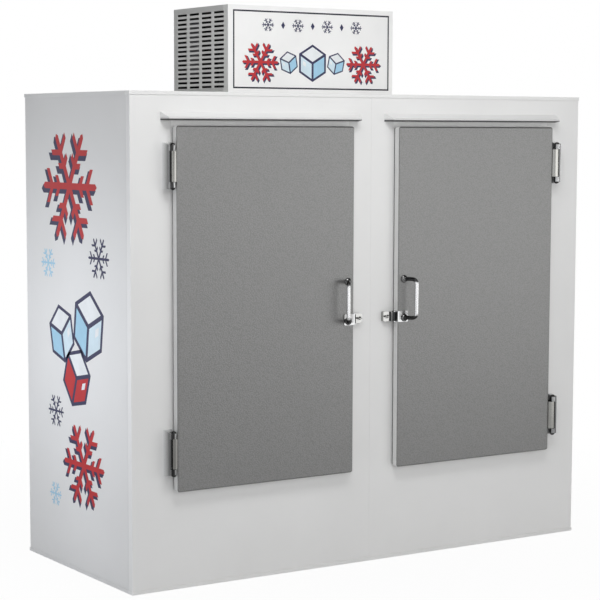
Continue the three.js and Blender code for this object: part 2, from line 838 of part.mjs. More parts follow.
// ---------------------------------------------------------------- condensing unit
// A spine with fins on both faces, drawn across (length, depth).
function finnedOutline(length, depth, fins, spine) {
  const pitch = length / fins;
  const half = depth / 2;
  const upper = [];
  for (let i = 0; i < fins; i += 1) {
    const u = -length / 2 + i * pitch;
    upper.push([u, half], [u + pitch / 2, half], [u + pitch / 2, spine / 2], [u + pitch, spine / 2]);
  }
  upper.pop();
  const lower = upper.map(([u, v]) => [u, -v]).reverse();
  const end = upper.at(-1)[0];
  const shape = new THREE.Shape();
  [...upper, [end, 0], ...lower].forEach(([u, v], i) => (i ? shape.lineTo(u, v) : shape.moveTo(u, v)));
  return shape;
}

// Hub and swept blades round the z axis, bored from behind for the motor shaft.
function fanWheel(radius) {
  const root = hubRadius - hubCap;
  const rootHalf = hubRadius * 0.45;
  const tip = radius * 0.93;
  const tipHalf = radius * 0.24;
  const outline = new THREE.Shape();
  outline.moveTo(root, -rootHalf);
  outline.quadraticCurveTo(radius * 0.7, -radius * 0.42, tip, -tipHalf);
  outline.quadraticCurveTo(radius + bladeThickness, 0, tip, tipHalf);
  outline.quadraticCurveTo(radius * 0.6, radius * 0.26, root, rootHalf);
  const geometry = extrude(outline, bladeThickness);
  geometry.translate(0, 0, -bladeThickness / 2);
  geometry.rotateX(bladePitch);
  const blade = toSolid(geometry);
  const blades = Array.from({ length: fanBlades }, (_, i) => blade.rotate([0, 0, (360 / fanBlades) * i]));
  return cut(
    join(rod('z', hubRadius, -fanDepth / 2, fanDepth / 2, [0, 0, 0]), ...blades),
    rod('z', shaftRadius + shaftAir, -fanDepth, fanDepth / 2 - hubCap, [0, 0, 0]),
  );
}

// The motor behind a fan centred on the origin: its shaft points along +x and its foot plate lies
// `axisHeight` below the shaft.
function fanMotor(radius, length, axisHeight) {
  const front = -fanDepth / 2 - shaftBehindFan;
  const back = front - length;
  const shaftEnd = fanDepth / 2 - hubCap - shaftEndAir;
  const foot = -axisHeight;
  return join(
    rod('x', radius, back, front, [0, 0, 0]),
    rod('x', shaftRadius, back, shaftEnd, [0, 0, 0]),
    box(back + motorPostInset, front - motorPostInset, -motorPostHalf, motorPostHalf, foot, 0),
    box(back, front, -radius, radius, foot, foot + motorFootPlate),
  );
}

function condensingUnit() {
  const coilTop = plantFoot + coilHeight;
  const coil = pushZ(finnedOutline(coilLength, coilDepth, coilFins, coilSpine), plantFoot, coilTop)
    .rotate([0, 0, 90])
    .translate([(coilInnerX + coilOuterX) / 2, hoodMiddleY, 0]);
  place('condenser_coil', coil, aluminium);

  const y0 = hoodMiddleY - coilLength / 2;
  const y1 = hoodMiddleY + coilLength / 2;
  const shroud = cut(
    box(shroudInnerX, shroudOuterX, y0, y1, plantFoot, coilTop),
    box(shroudInnerX + sheet, shroudOuterX + 1, y0 + sheet, y1 - sheet, plantFoot + sheet, coilTop - sheet),
    rod('x', orificeRadius, shroudInnerX - 1, shroudInnerX + sheet + 1, [0, hoodMiddleY, fanAxisZ], 36),
  );
  place('fan_shroud', shroud, blackPaint);

  const fanPlace = [fanX, hoodMiddleY, fanAxisZ];
  place('condenser_fan', fanWheel(fanRadius).rotate([0, 90, 0]).translate(fanPlace), aluminium);
  const motor = fanMotor(motorRadius, motorLength, fanAxisZ - plantFoot).translate(fanPlace);
  place('condenser_fan_motor', motor, blackPaint);

  const band = plantFoot + bandFoot;
  const bandTop = band + bandHeight;
  const shellTop = plantFoot + compressorHeight;
  const shell = turned(
    [
      [0, plantFoot],
      [shellFootRadius, plantFoot],
      [compressorRadius, plantFoot + shellShoulder],
      [compressorRadius, band],
      [compressorRadius + bandProud, band],
      [compressorRadius + bandProud, bandTop],
      ...dome(compressorRadius, bandTop, shellTop - bandTop, 5),
    ],
    'z',
    [-compressorOffset, hoodMiddleY, 0],
  );
  const plateDepth = compressorRadius + footPlateOverhang;
  const plateOutline = roundedRect(
    -compressorOffset - compressorRadius,
    -compressorOffset + compressorRadius,
    hoodMiddleY - plateDepth,
    hoodMiddleY + plateDepth,
    footPlateCorner,
  );
  const stubPlace = [-compressorOffset + stubOffset, hoodMiddleY, 0];
  const compressor = join(
    shell,
    pushZ(plateOutline, plantFoot, plantFoot + footPlate),
    rod('z', stubRadius, bandTop, shellTop + stubHeight, stubPlace, 16),
  );
  place('compressor', compressor, blackPaint);

  const ductX = -hoodInX + ductFromSide;
  const ductFront = hoodInBack - ductDepth;
  const ductTop = hoodTop - ductFromTop;
  const duct = box(ductX, ductX + ductWidth, ductFront, hoodInBack, ductTop - ductHeight, ductTop);
  place('wiring_duct', duct, greyPlastic);
}

// ---------------------------------------------------------------- evaporator in the tank
function evaporator() {
  const half = evaporatorWidth / 2;
  const innerHalf = half - sheet;
  const innerFront = evaporatorFront + sheet;
  const shell = cut(
    box(-half, half, evaporatorFront, evaporatorBack, evaporatorFoot, evaporatorTop),
    box(-innerHalf, innerHalf, innerFront, evaporatorBack + 1, evaporatorFoot + sheet, evaporatorTop + 1),
    rod('y', evaporatorOrifice, evaporatorFront - 1, innerFront + 1, [0, 0, evaporatorAxisZ], 36),
  );
  place('evaporator_housing', shell, aluminium);

  const coilY = evaporatorBack - evaporatorCoilDepth / 2 - sheet;
  const fins = finnedOutline(evaporatorCoilWidth, evaporatorCoilDepth, evaporatorFins, evaporatorSpine);
  const coil = pushZ(fins, evaporatorFloor, evaporatorFloor + evaporatorCoilHeight);
  place('evaporator_coil', coil.translate([0, coilY, 0]), aluminium);

  const fanPlace = [0, evaporatorFanY, evaporatorAxisZ];
  const fan = fanWheel(evaporatorFanRadius).rotate([90, 0, 0]).translate(fanPlace);
  place('evaporator_fan', fan, blackPaint);
  const axisHeight = evaporatorAxisZ - evaporatorFloor;
  const motor = fanMotor(evaporatorMotorRadius, evaporatorMotorLength, axisHeight)
    .rotate([0, 0, -90])
    .translate(fanPlace);
  place('evaporator_fan_motor', motor, greyPlastic);

  const drainPlace = [0, evaporatorBack - drainFromBack - drainRadius, 0];
  const drainTop = evaporatorFoot - seat;
  const drainFoot = roomFloor + rackHeight + drainAboveFloor;
  const drain = cut(
    rod('z', drainRadius, drainFoot, drainTop, drainPlace),
    rod('z', drainBore, drainFoot - 1, drainTop + 1, drainPlace),
  );
  place('drain_tube', drain, liningWhite);
}

casing();
tank();
floorRacks();
dripRails();
doors();
hinges();
handles();
catches();
housing();
condensingUnit();
evaporator();

// The whole part stands on the floor with its middle over the origin.
cabinet.position.y = -(bodyDepth + foremost) / 2;
const group = new THREE.Group();
group.add(cabinet);

export default group;
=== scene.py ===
"""Looks of a two-door upright ice merchandiser freezer: finishes, printed graphics, small
fasteners, stage, light and camera.  Metres, in the part's own frame."""

import json
import math

import bmesh
import bpy
from mathutils import Matrix, Vector


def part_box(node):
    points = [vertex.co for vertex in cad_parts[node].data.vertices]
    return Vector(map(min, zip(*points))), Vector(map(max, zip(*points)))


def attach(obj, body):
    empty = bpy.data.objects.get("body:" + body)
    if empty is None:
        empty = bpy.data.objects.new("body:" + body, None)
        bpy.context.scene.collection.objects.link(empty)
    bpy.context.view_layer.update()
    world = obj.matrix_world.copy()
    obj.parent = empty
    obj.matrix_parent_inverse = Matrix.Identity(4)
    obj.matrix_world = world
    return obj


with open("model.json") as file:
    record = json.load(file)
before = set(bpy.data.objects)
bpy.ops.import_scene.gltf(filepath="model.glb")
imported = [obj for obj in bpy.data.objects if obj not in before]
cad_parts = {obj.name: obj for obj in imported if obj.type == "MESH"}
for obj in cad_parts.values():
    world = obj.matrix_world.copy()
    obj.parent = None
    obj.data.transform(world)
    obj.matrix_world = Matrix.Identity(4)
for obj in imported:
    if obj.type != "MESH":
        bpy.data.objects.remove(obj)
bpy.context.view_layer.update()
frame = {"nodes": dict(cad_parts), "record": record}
nodes = frame["nodes"]
front_low, front_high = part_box("front_panel_right")
cabinet_face = front_low.y
door_low, door_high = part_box("door_skin_right")
rail_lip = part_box("drip_rail_right")[0].z
hood_low, hood_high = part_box("sign_panel")[0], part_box("hood_back_panel")[1]

# ---------------------------------------------------------------- camera
PICTURE = 600  # pixels each way
FOCAL = 1870.7  # pixels
AXIS_DROP = 25.4  # the lens axis meets the picture this many pixels below its middle
YAW, PITCH, ROLL = (math.radians(angle) for angle in (32.996, -5.934, 0.157))
STATION = Vector((-3.6811, cabinet_face - 5.2273, 1.4853))

forward = Vector((math.sin(YAW) * math.cos(PITCH), math.cos(YAW) * math.cos(PITCH), math.sin(PITCH)))
across_view = Vector((math.cos(YAW), -math.sin(YAW), 0))
up_view = across_view.cross(forward)
right = across_view * math.cos(ROLL) + up_view * math.sin(ROLL)
top = up_view * math.cos(ROLL) - across_view * math.sin(ROLL)
turn_to_view = Matrix((right, top, -forward)).transposed().to_4x4()

camera = bpy.data.objects.new("camera", bpy.data.cameras.new("camera"))
camera.data.sensor_width = 36
camera.data.lens = 36 * FOCAL / PICTURE
camera.data.shift_y = AXIS_DROP / PICTURE
camera.data.clip_end = 100
camera.matrix_world = Matrix.Translation(STATION) @ turn_to_view
bpy.context.scene.collection.objects.link(camera)
bpy.context.scene.camera = camera


# ---------------------------------------------------------------- finishes
class Nodes:
    """Short calls that add nodes to a tree and feed their sockets."""

    def __init__(self, tree):
        self.tree = tree

    def feed(self, socket, value):
        if isinstance(value, bpy.types.NodeSocket):
            self.tree.links.new(value, socket)
        else:
            socket.default_value = value

    def add(self, kind, inputs=(), **settings):
        node = self.tree.nodes.new("ShaderNode" + kind)
        for key, value in settings.items():
            setattr(node, key, value)
        for socket, value in dict(inputs).items():
            self.feed(node.inputs[socket], value)
        return node

    def part(self, vector, axis):
        return self.add("SeparateXYZ", {"Vector": vector}).outputs[axis]

    def remap(self, value, low, high, to_low=0.0, to_high=1.0):
        """Carries low to to_low and high to to_high, and holds those values beyond them."""
        inputs = {"Value": value, "From Min": low, "From Max": high, "To Min": to_low, "To Max": to_high}
        return self.add("MapRange", inputs).outputs["Result"]

    def math(self, operation, a, b=0.0):
        """b is left at 0 by the operations that take one value."""
        return self.add("Math", {0: a, 1: b}, operation=operation).outputs[0]

    def times(self, a, b):
        return self.math("MULTIPLY", a, b)

    def minus(self, a, b):
        return self.math("SUBTRACT", a, b)

    def most(self, a, b):
        return self.math("MAXIMUM", a, b)

    def blend(self, factor, a, b):
        """Mixes two shaders."""
        return self.add("MixShader", {0: factor, 1: a, 2: b}).outputs[0]


class Look(Nodes):
    """A node material on the Principled shader."""

    def __init__(self, name, **settings):
        self.material = bpy.data.materials.new(name)
        self.material.use_nodes = True
        super().__init__(self.material.node_tree)
        self.shader = self.tree.nodes["Principled BSDF"]
        self.place = self.add("TexCoord").outputs["Object"]
        for socket, value in settings.items():
            self.feed(self.shader.inputs[socket.replace("_", " ")], value)

    def along(self, axis):
        return self.part(self.place, axis)

    def from_centre(self):
        """Distance sideways from the middle of the cabinet."""
        return self.math("ABSOLUTE", self.along("X"))

    def out_of_face(self):
        """Distance in front of the cabinet face."""
        return self.minus(cabinet_face, self.along("Y"))

    def noise(self, size, detail=3.0, stretch=(1, 1, 1)):
        """Cloudy values from 0 to 1, in patches of about `size` metres."""
        stretched = self.add("Mapping", {"Vector": self.place, "Scale": stretch}).outputs["Vector"]
        return self.add("TexNoise", {"Vector": stretched, "Scale": 1 / size, "Detail": detail}).outputs[0]

    def cells(self, size, roundness=None):
        """Distance from the middle of the nearest of many cells `size` metres across."""
        feature = "F1" if roundness is None else "SMOOTH_F1"
        node = self.add("TexVoronoi", {"Vector": self.place, "Scale": 1 / size}, feature=feature)
        if roundness is not None:
            node.inputs["Smoothness"].default_value = roundness
        return node.outputs["Distance"]

    def mix(self, factor, a, b):
        """Mixes two colours."""
        node = self.add("Mix", data_type="RGBA")
        self.feed(node.inputs["Factor"], factor)
        for socket, value in ((6, a), (7, b)):
            self.feed(node.inputs[socket], value if isinstance(value, bpy.types.NodeSocket) else (*value, 1))
        return node.outputs[2]

    def inside(self, *limits):
        """1 where each value lies between its two limits, and 0 elsewhere."""
        mask = 1.0
        for value, low, high in limits:
            above, below = self.math("GREATER_THAN", value, low), self.math("LESS_THAN", value, high)
            mask = self.times(self.times(above, below), mask)
        return mask

    def from_nearest(self, value, levels):
        """Distance from the nearest of some values."""
        nearest = 1.0
        for level in levels:
            nearest = self.math("MINIMUM", self.math("ABSOLUTE", self.minus(value, level)), nearest)
        return nearest

    def cloudy(self, colour, size, dimmest, brightest=1.0):
        """A colour that wanders between two shades of it, in patches of about `size` metres."""
        cloud = self.remap(self.noise(size, 4), 0.3, 0.7)
        return self.mix(cloud, shade(colour, dimmest), shade(colour, brightest))

    def colour(self, value):
        self.feed(self.shader.inputs["Base Color"], value)

    def roughness(self, value, low, high):
        self.feed(self.shader.inputs["Roughness"], self.remap(value, 0, 1, low, high))

    def bump(self, *layers):
        """Each layer is (height from 0 to 1, its depth in metres)."""
        normal = None
        for height, depth in layers:
            node = self.add("Bump", {"Height": height, "Distance": depth, "Strength": 1.0})
            if normal is not None:
                self.feed(node.inputs["Normal"], normal)
            normal = node.outputs["Normal"]
        self.feed(self.shader.inputs["Normal"], normal)

    def orange_peel(self, wave=0.09, depth=0.00012):
        """The grain of sprayed paint, over long shallow waves."""
        self.bump((self.noise(0.0022, 1), 0.00002), (self.noise(wave, 2), depth))


def shade(colour, factor):
    return tuple(channel * factor for channel in colour)


def grey(value):
    return (value, value, value)


DUST = (0.47, 0.45, 0.42)
DUSTY_HEIGHT = 0.16
SKIN = 0.0012  # a point deeper than this in a sheet isn't on its outside
MARGIN = 0.0006  # by which a shaded stretch runs past the edge of its sheet


def baked_paint(name, colour):
    """Smooth sprayed paint on sheet: slight orange peel, cloudy gloss, a little dust near the floor, a
    painted highlight on the folded corners and painted light in the rail's shadow between a drip rail and its
    door."""
    look = Look(name)
    tone = look.cloudy(colour, 0.35, 0.975, 1.015)
    height, from_centre, out = look.along("Z"), look.from_centre(), look.out_of_face()
    fold_end = front_low.y - front_high.y - MARGIN
    # painted highlight on the folded corners of the front panel
    corner = look.inside((from_centre, front_high.x - SKIN, 1), (out, fold_end, 1))
    tone = look.mix(corner, tone, shade(colour, 1.08))
    # painted light: the strip in the shadow of a drip rail, above its door, is brightened
    under_rail = [
        (height, door_high.z - 0.004, rail_lip),
        (from_centre, door_low.x, door_high.x),
        (out, -0.001, 1),
    ]
    tone = look.mix(look.inside(*under_rail), tone, shade(colour, 1.17))
    dust = look.times(look.remap(height, DUSTY_HEIGHT, 0), look.noise(0.06, 5))
    look.colour(look.mix(look.times(dust, 0.1), tone, DUST))
    look.roughness(look.noise(0.05, 4), 0.29, 0.43)
    look.orange_peel()
    return look.material


def lipped_paint(name, colour):
    """White paint on a drip rail, with painted shade along its lip: a thin dark line at its lower edge and a
    softer shade above that.
    """
    look = Look(name)
    up = look.minus(look.along("Z"), rail_lip)
    tone = look.cloudy(colour, 0.2, 0.97)
    # painted shade: softer above the lip, and a thin dark line along its lower edge
    tone = look.mix(look.remap(up, 0.006, 0.013, 0.5, 0), tone, shade(colour, 0.45))
    look.colour(look.mix(look.remap(up, 0.0042, 0.0062, 1, 0), tone, grey(0.05)))
    look.roughness(look.noise(0.05, 4), 0.3, 0.42)
    look.orange_peel()
    return look.material


def pebbled_sheet(name, colour, rim):
    """Sheet embossed with fine pebbles a few millimetres across, plain and paler on the edges of the door.
    A dark line of painted shade runs along its top edge, and a fainter one along the bottom."""
    look = Look(name, Specular_IOR_Level=0.45)
    edge = look.math("GREATER_THAN", look.along("Y"), door_low.y + 0.0035)
    face = look.minus(1.0, edge)
    grit = look.noise(0.0016, 2)
    raised = look.times(look.remap(look.cells(0.0042, roundness=0.35), 0.75, 0.1), face)
    tone = look.mix(raised, shade(colour, 0.86), shade(colour, 1.1))
    cloud = look.remap(look.noise(0.5, 3), 0.3, 0.7)
    tone = look.mix(look.times(cloud, 0.12), tone, shade(colour, 0.8))
    height = look.along("Z")
    # painted shade: dark lines along the top and bottom edges of the door face
    edge_shade_start, edge_shade_end = 0.0052, 0.0032  # from the edge of the door
    top_edge_shade = look.remap(height, door_high.z - edge_shade_start, door_high.z - edge_shade_end, 0, 0.75)
    bottom_edge_shade = look.remap(height, door_low.z + edge_shade_start, door_low.z + edge_shade_end, 0, 0.3)
    tone = look.mix(look.most(top_edge_shade, bottom_edge_shade), tone, grey(0.04))
    look.colour(look.mix(edge, tone, look.mix(cloud, shade(rim, 0.96), rim)))
    look.feed(look.shader.inputs["Metallic"], look.times(face, 0.8))
    look.roughness(grit, 0.38, 0.5)
    look.bump((raised, 0.0003), (grit, 0.00004))
    return look.material


def bright_metal(name, colour, rough, wear=0.11, dimmest=0.95, patch=0.03, grain=(1, 1, 0.2), depth=0.000004):
    """Metal with fine wipe marks and a cloudy gloss.  Gives the look and its base tone."""
    look = Look(name, Metallic=1.0)
    cloud = look.noise(patch, 4)
    marks = look.noise(0.0016, 3, grain)
    look.roughness(look.times(marks, cloud), rough, rough + wear)
    look.bump((marks, depth))
    return look, look.mix(look.remap(cloud, 0.25, 0.75), shade(colour, dimmest), colour)


def plated(name, colour, rough, **marks):
    """Metal in its base tone all over."""
    look, tone = bright_metal(name, colour, rough, **marks)
    look.colour(tone)
    return look.material


def hinge_metal(name, colour, rough):
    """Satin chrome.  The leaf darkens towards the gap beside the strap as a painted dark reflection and is
    painted near-black inside as painted shade, and the domes of its knuckles are painted dark as reflections."""
    look, tone = bright_metal(name, colour, rough, wear=0.12, dimmest=0.94)
    sideways, out = look.along("X"), look.out_of_face()
    from_edge = look.minus(look.from_centre(), door_high.x)
    right_hand = look.math("GREATER_THAN", sideways, 0)
    leaves = [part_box(f"hinge_leaf_{place}_right") for place in ("upper", "lower")]
    from_middle = look.from_nearest(look.along("Z"), [(low.z + high.z) / 2 for low, high in leaves])
    strap_low, strap_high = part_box("hinge_strap_upper_right")
    beside_strap = look.math("LESS_THAN", from_middle, (strap_high.z - strap_low.z) / 2)
    past_strap = look.minus(1.0, beside_strap)

    # the wall darkens outwards from the cabinet face: a painted reflection, from a painted highlight near the
    # face
    wall_start, wall_end = 0.003, 0.037
    bright_tone = look.mix(0.8, tone, shade(colour, 1.4))
    tone = look.mix(look.remap(out, wall_start, wall_end), bright_tone, shade(colour, 0.33))

    # the knuckles stand past the ends of the strap, in front of the wall, and are painted darker as a
    # reflection
    knuckle_edge, knuckle_out = 0.0263, 0.0262
    knuckle = look.times(look.inside((from_edge, -1, knuckle_edge), (out, knuckle_out, 1)), past_strap)
    tone = look.mix(knuckle, tone, shade(colour, 0.56))

    # the nose beside the strap gets a painted dark reflection, weaker on its inner side and on the right
    nose_inner, nose_start, nose_end = 0.0255, 0.0285, 0.0339
    nose = look.remap(look.minus(from_edge, look.times(right_hand, 0.0035)), nose_start, nose_end)
    inner_nose = look.times(right_hand, look.remap(from_edge, nose_inner, nose_start, 0, 0.3))
    unshaded = look.most(look.most(nose, inner_nose), past_strap)
    dark_reflection = look.mix(right_hand, shade(colour, 0.06), shade(colour, 0.3))
    tone = look.mix(unshaded, dark_reflection, tone)

    # painted dark reflection on the left side and the outer end of each dome
    pin_inset, right_shift, dome_start, dome_end = 0.017, 0.0068, 0.0655, 0.0685
    from_pin = look.times(look.minus(from_edge, pin_inset), look.math("SIGN", sideways))
    from_pin = look.math("ADD", from_pin, look.times(right_hand, right_shift))
    dark = look.most(look.remap(from_middle, dome_start, dome_end), look.remap(from_pin, -0.0005, -0.002))
    tone = look.mix(look.times(dark, knuckle), tone, grey(0.045))

    # painted shade: the hollow inside the leaf is near-black
    hollow = look.times(look.inside((from_edge, 0.004, 0.0253), (out, -1, 0.04)), beside_strap)
    look.colour(look.mix(hollow, tone, grey(0.012)))
    return look.material


def strap_metal(name, colour, rough):
    """Satin chrome, with a painted dark reflection on the outer half of the left straps."""
    look, tone = bright_metal(name, colour, rough)
    past_left_edge = look.minus(-door_high.x, look.along("X"))
    # painted dark reflection on the outer half of the left straps
    dark_reflection = look.remap(past_left_edge, 0.0118, 0.0138, 0, 0.75)
    look.colour(look.mix(dark_reflection, tone, shade(colour, 0.5)))
    return look.material


def handle_metal(name, colour, rough):
    """Polished chrome, bright on the grip, with painted dark reflections on the legs and bends and dimmer
    painted reflections on the feet.  Each remap fades over a few millimetres, counted out from the door or up
    and down from the middle."""
    look, tone = bright_metal(name, colour, rough)
    low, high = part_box("pull_handle_right")
    out = look.minus(high.y, look.along("Y"))
    from_middle = look.from_nearest(look.along("Z"), [(low.z + high.z) / 2])
    # painted dark reflection on the legs and bends
    leg = look.remap(out, 0.0335, 0.0305)
    bend = look.remap(from_middle, 0.0555, 0.0605)
    tone = look.mix(look.most(leg, bend), tone, grey(0.04))
    # dimmer painted reflection on the feet
    foot = look.times(look.remap(out, 0.0105, 0.0085), look.noise(0.006, 1))
    look.colour(look.mix(foot, tone, shade(colour, 0.45)))
    return look.material


def catch_metal(name, colour, rough):
    """Chrome catch plate, bright along its lower lip and round the latch edge, with painted shade and dark
    reflection on its face.
    """
    look, tone = bright_metal(name, colour, rough, patch=0.02)
    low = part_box("catch_plate_right")[0]
    above_lip = look.remap(look.minus(look.along("Z"), low.z), 0.0065, 0.0095)
    off_edge = look.remap(look.minus(look.from_centre(), low.x), 0.013, 0.017)
    # painted shade and dark reflection on the face of the plate
    shaded_face = look.mix(look.noise(0.008, 2), grey(0.08), grey(0.42))
    look.colour(look.mix(look.times(above_lip, off_edge), tone, shaded_face))
    return look.material


def galvanised(name, colour):
    """Zinc with its spangle, about 9 mm across."""
    look = Look(name, Metallic=0.85)
    spangle = look.add("TexVoronoi", {"Vector": look.place, "Scale": 110.0}).outputs["Color"]
    flake = look.part(spangle, "X")
    look.colour(look.mix(flake, shade(colour, 0.82), shade(colour, 1.12)))
    look.roughness(flake, 0.32, 0.52)
    look.bump((look.noise(0.004, 3), 0.00004))
    return look.material


def moulded(name, colour, rough, grain=0.0012, depth=0.00003, spread=0.11):
    """Plastic, rubber or enamel with a fine grain."""
    look = Look(name)
    look.colour(look.cloudy(colour, 0.04, 1 - spread, 1 + spread))
    fine = look.noise(grain, 2)
    look.roughness(fine, rough - 0.08, rough + 0.08)
    look.bump((fine, depth))
    return look.material


def blown_foam(name, colour):
    """Foam with small bubbles and an uneven skin."""
    look = Look(name, Roughness=0.9)
    bubbles = look.cells(0.0035)
    look.colour(look.mix(bubbles, shade(colour, 0.75), shade(colour, 1.1)))
    look.bump((bubbles, 0.0006), (look.noise(0.02, 4), 0.0015))
    return look.material


def finned(name, colour, pitch):
    """A stack of thin level fins, with painted shade in the gaps between them."""
    look = Look(name, Metallic=0.9)
    height = look.remap(look.math("PINGPONG", look.along("Z"), pitch / 2), 0, pitch / 2)
    # painted shade in the gaps between the fins
    look.colour(look.mix(height, shade(colour, 0.25), colour))
    look.roughness(look.noise(0.01, 3), 0.3, 0.5)
    look.bump((height, pitch / 2))
    return look.material


def vinyl(name, colour):
    """Printed film, smooth with a slight tooth."""
    look = Look(name, Specular_IOR_Level=0.45)
    look.colour(look.cloudy(colour, 0.05, 0.93, 1.04))
    look.roughness(look.noise(0.004, 3), 0.3, 0.42)
    look.bump((look.noise(0.003, 2), 0.00002))
    return look.material


SLOTS_HALF_DEPTH = 0.163  # of the louvers' slots, from the middle of their panel
SLOTS_BELOW_TOP = (0.284, 0.0205)  # their lowest and highest edges


def hood_paint(name, colour, louvred=False):
    """Paint outside; the inside of the hood is painted near-black, as painted shade.  On louvred panels the
    blades between the slots and the margin in front of them get a painted highlight."""
    look = Look(name)
    tone = look.cloudy(colour, 0.2, 0.96, 1.03)
    depth, height = look.along("Y"), look.along("Z")
    if louvred:
        middle = sum(corner.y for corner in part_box("louver_panel_left")) / 2
        slots_front, slots_back = middle - SLOTS_HALF_DEPTH, middle + SLOTS_HALF_DEPTH
        slots_low, slots_high = (hood_high.z - below for below in SLOTS_BELOW_TOP)
        # painted highlight on the margin in front of the slots and on the blades between them
        tone = look.mix(look.remap(depth, slots_front + 0.01, slots_front), tone, shade(colour, 1.25))
        blades = look.inside((depth, slots_front, slots_back), (height, slots_low, slots_high))
        tone = look.mix(blades, tone, shade(colour, 1.22))
    # painted shade: the inside of the hood is near-black
    values = (look.along("X"), depth, height)
    walls = zip(values, hood_low, hood_high)
    within = look.inside(*((value, low + SKIN, high - SKIN) for value, low, high in walls))
    look.colour(look.mix(within, tone, grey(0.012)))
    look.roughness(look.noise(0.05, 4), 0.38, 0.5)
    look.orange_peel(wave=0.08, depth=0.0001)
    return look.material


white_paint = baked_paint("white paint", (0.80, 0.80, 0.795))
hood_grey = hood_paint("hood grey", (0.61, 0.615, 0.605), louvred=True)
hood_white = hood_paint("hood white", (0.91, 0.91, 0.905))
rail_white = lipped_paint("rail white", (0.85, 0.85, 0.845))
door_grey = pebbled_sheet("embossed grey", (0.262, 0.262, 0.259), rim=(0.76, 0.76, 0.755))
liner_white = moulded("white liner", (0.74, 0.75, 0.76), 0.3, grain=0.004, depth=0.00004, spread=0.015)
chrome = plated("chrome", (0.78, 0.79, 0.81), 0.07)
leaf_chrome = hinge_metal("leaf chrome", (0.66, 0.665, 0.67), 0.16)
strap_chrome = strap_metal("strap chrome", (0.41, 0.406, 0.385), 0.17)
handle_chrome = handle_metal("handle chrome", (0.8, 0.802, 0.805), 0.22)
catch_chrome = catch_metal("catch chrome", (0.46, 0.463, 0.466), 0.14)
strike_chrome = plated("strike chrome", (0.41, 0.41, 0.4), 0.18)
aluminium = plated("aluminium", (0.62, 0.64, 0.66), 0.28, wear=0.132, grain=(1, 0.05, 1), depth=0.00002)
zinc = galvanised("zinc", (0.52, 0.54, 0.56))
rubber = moulded("rubber", (0.028, 0.029, 0.031), 0.62)
black_paint = moulded("black paint", (0.018, 0.018, 0.02), 0.42)
grey_plastic = moulded("grey plastic", (0.30, 0.30, 0.31), 0.5)
foam = blown_foam("foam", (0.68, 0.57, 0.32))
condenser_fins = finned("condenser fins", (0.5, 0.52, 0.54), pitch=0.0042)
evaporator_fins = finned("evaporator fins", (0.55, 0.57, 0.6), pitch=0.006)

slot_of = {row["node"]: row["material_slot"] for row in frame["record"]["subparts"]}
look_of_slot = {  # its finish and the width of its softened edges
    "white_paint": (white_paint, 0.0005),
    "white_liner": (liner_white, 0.0009),
    "foam": (foam, 0),
    "grey_plastic": (grey_plastic, 0.0008),
    "zinc": (zinc, 0.0006),
    "embossed_grey": (door_grey, 0.0006),
    "rubber": (rubber, 0.001),
    "chrome": (chrome, 0.0007),
    "hood_grey": (hood_grey, 0.0007),
    "black_paint": (black_paint, 0.0006),
    "aluminium": (aluminium, 0.0005),
}
finish_of_group = {
    "sign_panel": hood_white,
    "condenser_coil": condenser_fins,
    "evaporator_coil": evaporator_fins,
    "drip_rail": rail_white,
    "hinge_leaf": leaf_chrome,
    "hinge_strap": strap_chrome,
    "pull_handle": handle_chrome,
    "catch_plate": catch_chrome,
    "strike_plate": strike_chrome,
}


# ---------------------------------------------------------------- softened edges on the CAD pieces
SHARP = math.radians(32)  # edges that turn more than this are rounded


def soften(piece, width):
    """Closes the seams between triangles and rounds the sharp edges."""
    piece.data.shade_smooth()
    weld = piece.modifiers.new("weld", "WELD")
    weld.merge_threshold = 0.00001
    if width:
        bevel = piece.modifiers.new("bevel", "BEVEL")
        bevel.width = width
        bevel.segments = 2
        bevel.limit_method = "ANGLE"
        bevel.angle_limit = SHARP
        bevel.harden_normals = True
    normals = piece.modifiers.new("normals", "WEIGHTED_NORMAL")
    normals.keep_sharp = True


for name, piece in nodes.items():
    finish, edge_width = look_of_slot[slot_of[name]]
    for group, special in finish_of_group.items():
        if name.startswith(group):
            finish = special
    piece.data.materials.clear()
    piece.data.materials.append(finish)
    soften(piece, edge_width)


# ---------------------------------------------------------------- pieces made here
def outline(*points):
    """A flat outline from pairs of numbers."""
    return [Vector(point) for point in points]


def polygon(corners, radius, start=0.0):
    """The corners of a regular polygon, counted from an angle in degrees."""
    angles = [math.radians(start) + 2 * math.pi * i / corners for i in range(corners)]
    return [Vector((math.cos(angle), math.sin(angle))) * radius for angle in angles]


def wall(mesh, lower, upper):
    """Joins two rings of corners by a band of faces."""
    for i, _ in enumerate(lower):
        k = (i + 1) % len(lower)
        mesh.faces.new((lower[i], lower[k], upper[k], upper[i]))


def new_piece(name, mesh, finish):
    """Turns a finished mesh into a piece in the scene."""
    data = bpy.data.meshes.new(name)
    mesh.to_mesh(data)
    mesh.free()
    data.materials.append(finish)
    piece = bpy.data.objects.new(name, data)
    bpy.context.scene.collection.objects.link(piece)
    return piece


def cabinet_piece(name, mesh, finish):
    """A new piece that rides on the cabinet."""
    piece = new_piece(name, mesh, finish)
    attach(piece, "cabinet")


# ---------------------------------------------------------------- printed graphics
def moved(shapes, place):
    """The same outlines in another place."""
    return [[point + Vector(place) for point in shape] for shape in shapes]


